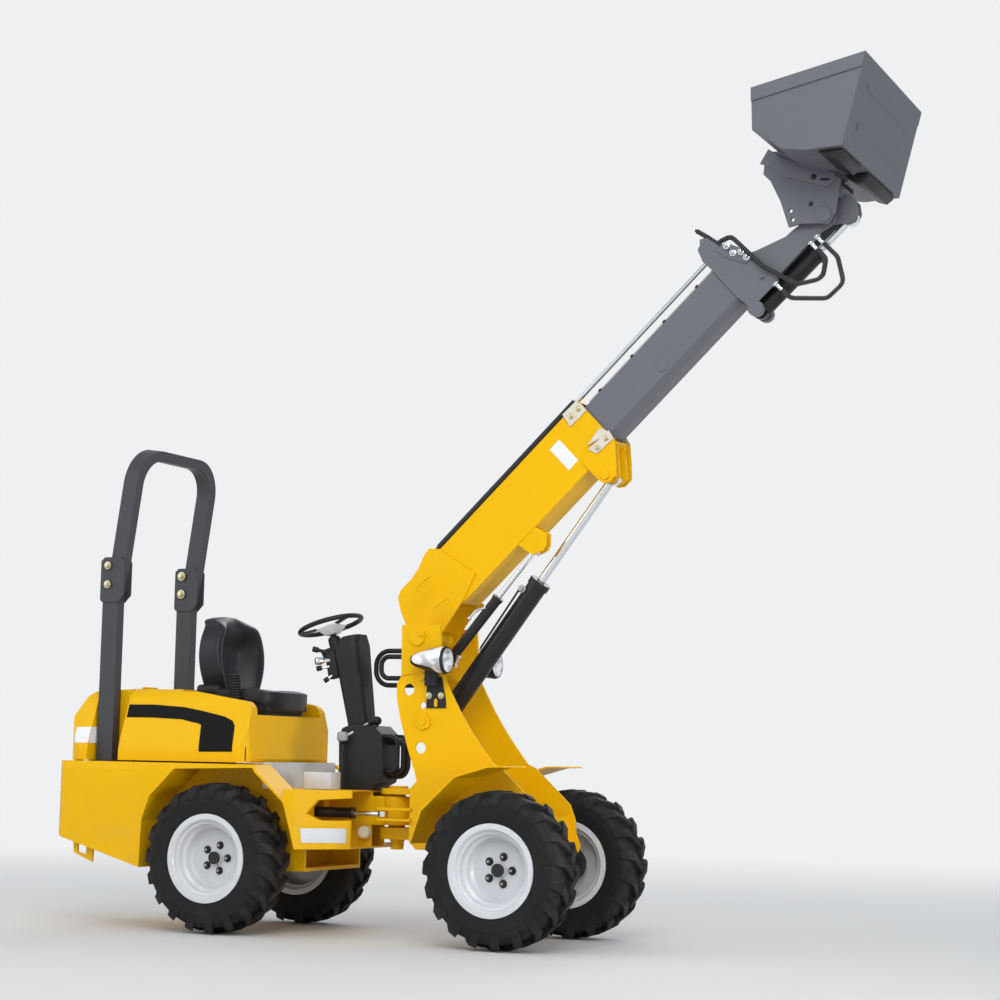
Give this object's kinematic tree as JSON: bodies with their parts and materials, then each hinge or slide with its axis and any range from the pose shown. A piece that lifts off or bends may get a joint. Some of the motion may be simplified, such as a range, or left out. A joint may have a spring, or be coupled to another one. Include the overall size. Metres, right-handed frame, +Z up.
{
  "type": "compact articulated telehandler",
  "caption": "Compact articulated telehandler with an open seat, roll hoop, extending boom raised high and a tilting bucket on its carrier.",
  "frame": {"origin": "centre of the whole machine's footprint box, on the ground", "axes": "+X forward, +Y to the machine's left, +Z up"},
  "size_m": [4.458, 1.182, 4.2685],
  "materials": {
    "yellow_paint": "gloss",
    "grey_paint": "satin",
    "black_paint": "satin",
    "rim_silver": "satin",
    "tyre_rubber": "matte",
    "black_plastic": "matte",
    "silver_sheet": "satin",
    "seat_vinyl": "satin",
    "rod_chrome": "polished",
    "pin_steel": "satin",
    "lamp_glass": "clear",
    "pad_plastic": "satin",
    "cast_housing": "matte",
    "hose_rubber": "matte"
  },
  "bodies": {
    "rear_frame": {"rear_tub": "yellow_paint", "rear_neck": "yellow_paint", "rear_axle": "cast_housing", "engine_block": "cast_housing", "step_box": "silver_sheet", "rear_cowl": "yellow_paint", "hoop_posts": "grey_paint", "console": "black_plastic", "control_levers": "black_plastic"},
    "hood": {"seat_hood": "yellow_paint", "seat": "seat_vinyl", "seat_base": "black_plastic"},
    "hoop": {"hoop_upper": "grey_paint"},
    "steering_wheel": {"steering_wheel": "black_plastic"},
    "front_frame": {"front_frame": "yellow_paint", "frame_pins": "pin_steel", "front_axle": "cast_housing", "lamp_housings": "black_plastic", "lamp_lenses": "lamp_glass", "mast_hoses": "hose_rubber"},
    "outer_boom": {"outer_boom": "yellow_paint", "wear_pads": "pad_plastic", "tele_barrel": "black_paint"},
    "inner_boom": {"inner_boom": "grey_paint", "boom_head": "grey_paint", "tele_rod": "rod_chrome", "head_hoses": "hose_rubber"},
    "tool": {"tool_carrier": "grey_paint", "bucket": "grey_paint"},
    "lift_barrel": {"lift_barrel": "black_paint"},
    "lift_rod": {"lift_rod": "rod_chrome"},
    "comp_barrel": {"comp_barrel": "black_paint"},
    "comp_rod": {"comp_rod": "rod_chrome"},
    "tilt_barrel": {"tilt_barrel": "black_paint"},
    "tilt_rod": {"tilt_rod": "rod_chrome"},
    "steering_barrel": {"steering_barrel": "black_paint"},
    "steering_rod": {"steering_rod": "rod_chrome"},
    "wheel_front_left": {"rim_front_left": "rim_silver", "tyre_front_left": "tyre_rubber"},
    "wheel_front_right": {"rim_front_right": "rim_silver", "tyre_front_right": "tyre_rubber"},
    "wheel_rear_left": {"rim_rear_left": "rim_silver", "tyre_rear_left": "tyre_rubber"},
    "wheel_rear_right": {"rim_rear_right": "rim_silver", "tyre_rear_right": "tyre_rubber"}
  },
  "joints": [
    {"name": "articulation", "type": "hinge", "parent": "rear_frame", "child": "front_frame", "pos_m": [-0.424, 0, 0.64], "axis": [0, 0, 1], "range_deg": [-40, 40]},
    {"name": "boom_lift", "type": "hinge", "parent": "front_frame", "child": "outer_boom", "pos_m": [-0.214, 0, 1.54], "axis": [0, -1, 0], "range_deg": [-80, 4]},
    {"name": "boom_extend", "type": "slide", "parent": "outer_boom", "child": "inner_boom", "axis": [0.7193, 0, 0.6947], "range_m": [-0.9, 0.02]},
    {"name": "tool_tilt", "type": "hinge", "parent": "inner_boom", "child": "tool", "pos_m": [1.90552, 0, 3.60626], "axis": [0, -1, 0], "range_deg": [-115, 5]},
    {"name": "hood_tilt", "type": "hinge", "parent": "rear_frame", "child": "hood", "pos_m": [-1.884, 0, 1.27], "axis": [0, -1, 0], "range_deg": [0, 50]},
    {"name": "hoop_fold", "type": "hinge", "parent": "rear_frame", "child": "hoop", "pos_m": [-2.027, 0, 1.929], "axis": [0, -1, 0], "range_deg": [0, 110]},
    {"name": "steering_wheel_turn", "type": "hinge", "parent": "rear_frame", "child": "steering_wheel", "pos_m": [-0.859, 0, 1.62], "axis": [-0.3039, 0, 0.9527], "continuous": true},
    {"name": "wheel_front_left_spin", "type": "hinge", "parent": "front_frame", "child": "wheel_front_left", "pos_m": [0.386, 0.459, 0.3875], "axis": [0, 1, 0], "continuous": true},
    {"name": "wheel_front_right_spin", "type": "hinge", "parent": "front_frame", "child": "wheel_front_right", "pos_m": [0.386, -0.459, 0.3875], "axis": [0, 1, 0], "continuous": true},
    {"name": "wheel_rear_left_spin", "type": "hinge", "parent": "rear_frame", "child": "wheel_rear_left", "pos_m": [-1.234, 0.459, 0.3875], "axis": [0, 1, 0], "continuous": true},
    {"name": "wheel_rear_right_spin", "type": "hinge", "parent": "rear_frame", "child": "wheel_rear_right", "pos_m": [-1.234, -0.459, 0.3875], "axis": [0, 1, 0], "continuous": true},
    {"name": "lift_barrel_swing", "type": "hinge", "parent": "front_frame", "child": "lift_barrel", "pos_m": [-0.174, 0, 1.11], "axis": [0, -1, 0], "range_deg": [-74.1, 4.18]},
    {"name": "lift_rod_slide", "type": "slide", "parent": "lift_barrel", "child": "lift_rod", "axis": [0.6006, 0, 0.7996], "range_m": [-0.53817, 0.02881]},
    {"name": "comp_barrel_swing", "type": "hinge", "parent": "front_frame", "child": "comp_barrel", "pos_m": [-0.184, -0.065, 1.34], "axis": [0, -1, 0], "range_deg": [-78.1, 4.38]},
    {"name": "comp_rod_slide", "type": "slide", "parent": "comp_barrel", "child": "comp_rod", "axis": [0.6445, 0, 0.7646], "range_m": [-0.26017, 0.01491]},
    {"name": "tilt_barrel_swing", "type": "hinge", "parent": "inner_boom", "child": "tilt_barrel", "pos_m": [1.54854, 0, 3.16977], "axis": [0, -1, 0], "range_deg": [-0.52, 0.84]},
    {"name": "tilt_rod_slide", "type": "slide", "parent": "tilt_barrel", "child": "tilt_rod", "axis": [0.7283, 0, 0.6852], "range_m": [-0.17863, 0.00968]},
    {"name": "steering_barrel_swing", "type": "hinge", "parent": "rear_frame", "child": "steering_barrel", "pos_m": [-0.924, -0.19, 0.6325], "axis": [0, 0, 1], "range_deg": [-0.9, 0.9]},
    {"name": "steering_rod_slide", "type": "slide", "parent": "steering_barrel", "child": "steering_rod", "axis": [0.9998, -0.0192, 0], "range_m": [-0.13115, 0.13115]}
  ],
  "couplings": [
    {"joint": "lift_barrel_swing", "follows": "boom_lift", "ratio": 0.92},
    {"joint": "lift_rod_slide", "follows": "boom_lift", "m_per_rad": 0.384},
    {"joint": "comp_barrel_swing", "follows": "boom_lift", "ratio": 0.97},
    {"joint": "comp_rod_slide", "follows": "boom_lift", "m_per_rad": 0.1849},
    {"joint": "tilt_barrel_swing", "follows": "tool_tilt", "ratio": -0.003},
    {"joint": "tilt_rod_slide", "follows": "tool_tilt", "m_per_rad": 0.088},
    {"joint": "steering_barrel_swing", "follows": "articulation", "ratio": 0.01},
    {"joint": "steering_rod_slide", "follows": "articulation", "m_per_rad": 0.185}
  ]
}
